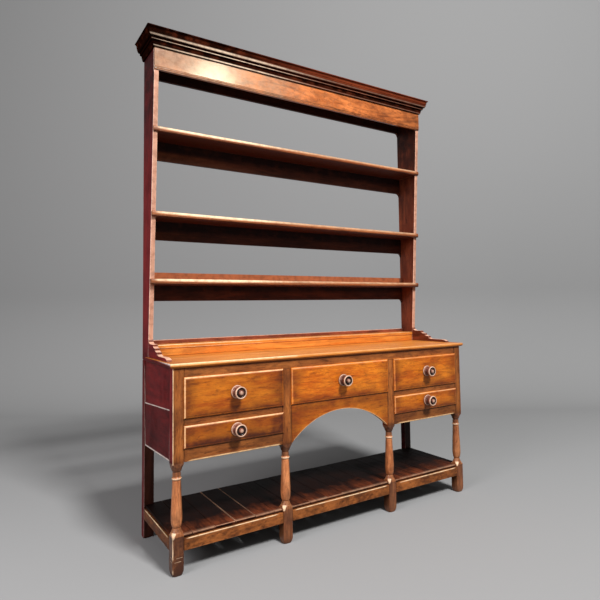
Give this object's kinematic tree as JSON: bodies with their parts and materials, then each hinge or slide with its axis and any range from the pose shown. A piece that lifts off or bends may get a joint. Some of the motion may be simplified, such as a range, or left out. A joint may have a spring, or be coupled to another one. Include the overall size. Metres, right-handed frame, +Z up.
{
  "type": "welsh dresser",
  "caption": "Open-rack kitchen dresser: plate shelves over a potboard base with turned legs, an arched apron and sliding lipped drawers.",
  "frame": {"origin": "on the floor, midway between the ends, below the middle of the overall depth (drawer knobs to rear faces)", "axes": "+Z up, +X to the right as seen by someone facing the drawers, -Y out of the drawer fronts, +Y to the wall"},
  "size_m": [1.6806, 0.5024, 2.25],
  "materials": {
    "waxed_oak": "worn wax polish",
    "pale_oak": "rubbed wax polish",
    "dark_oak": "dark wax polish",
    "moulding_oak": "dark wax polish",
    "deck_oak": "worn and dull",
    "bare_oak": "bare",
    "knob_wood": "handled sheen"
  },
  "bodies": {
    "dresser": {"front_leg_left": "pale_oak", "front_leg_mid_left": "pale_oak", "front_leg_mid_right": "pale_oak", "front_leg_right": "pale_oak", "rear_post_left": "dark_oak", "rear_post_right": "dark_oak", "side_board_upper_left": "dark_oak", "side_board_lower_left": "dark_oak", "side_board_upper_right": "dark_oak", "side_board_lower_right": "dark_oak", "top_rail": "waxed_oak", "divider_rail_left": "waxed_oak", "divider_rail_right": "waxed_oak", "bottom_rail_left": "waxed_oak", "bottom_rail_right": "waxed_oak", "arched_apron": "waxed_oak", "dust_board_middle": "bare_oak", "back_boards": "bare_oak", "front_stretcher": "waxed_oak", "rear_stretcher": "dark_oak", "side_stretcher_left": "dark_oak", "side_stretcher_right": "dark_oak", "potboard": "deck_oak", "worktop_front": "waxed_oak", "worktop_rear": "waxed_oak", "rack_upright_left": "dark_oak", "rack_upright_right": "dark_oak", "rack_scroll_left": "dark_oak", "rack_scroll_right": "dark_oak", "rack_shelf_high": "waxed_oak", "rack_shelf_middle": "waxed_oak", "rack_shelf_low": "waxed_oak", "rack_shelf_bottom": "waxed_oak", "rack_rail_high": "dark_oak", "rack_rail_middle": "dark_oak", "rack_rail_low": "dark_oak", "rack_rail_bottom": "dark_oak", "rack_rail_top": "dark_oak", "rack_top_board": "bare_oak", "frieze": "waxed_oak", "cornice_front": "moulding_oak", "cornice_left": "moulding_oak", "cornice_right": "moulding_oak"},
    "drawer_left_upper": {"drawer_left_upper_front": "waxed_oak", "drawer_left_upper_box": "bare_oak", "drawer_left_upper_knob": "knob_wood"},
    "drawer_left_lower": {"drawer_left_lower_front": "waxed_oak", "drawer_left_lower_box": "bare_oak", "drawer_left_lower_knob": "knob_wood"},
    "drawer_middle": {"drawer_middle_front": "waxed_oak", "drawer_middle_box": "bare_oak", "drawer_middle_knob": "knob_wood"},
    "drawer_right_upper": {"drawer_right_upper_front": "waxed_oak", "drawer_right_upper_box": "bare_oak", "drawer_right_upper_knob": "knob_wood"},
    "drawer_right_lower": {"drawer_right_lower_front": "waxed_oak", "drawer_right_lower_box": "bare_oak", "drawer_right_lower_knob": "knob_wood"}
  },
  "joints": [
    {"name": "drawer_left_upper_slide", "type": "slide", "parent": "dresser", "child": "drawer_left_upper", "axis": [0, -1, 0], "range_m": [0, 0.3]},
    {"name": "drawer_left_lower_slide", "type": "slide", "parent": "dresser", "child": "drawer_left_lower", "axis": [0, -1, 0], "range_m": [0, 0.3]},
    {"name": "drawer_middle_slide", "type": "slide", "parent": "dresser", "child": "drawer_middle", "axis": [0, -1, 0], "range_m": [0, 0.3]},
    {"name": "drawer_right_upper_slide", "type": "slide", "parent": "dresser", "child": "drawer_right_upper", "axis": [0, -1, 0], "range_m": [0, 0.3]},
    {"name": "drawer_right_lower_slide", "type": "slide", "parent": "dresser", "child": "drawer_right_lower", "axis": [0, -1, 0], "range_m": [0, 0.3]}
  ]
}
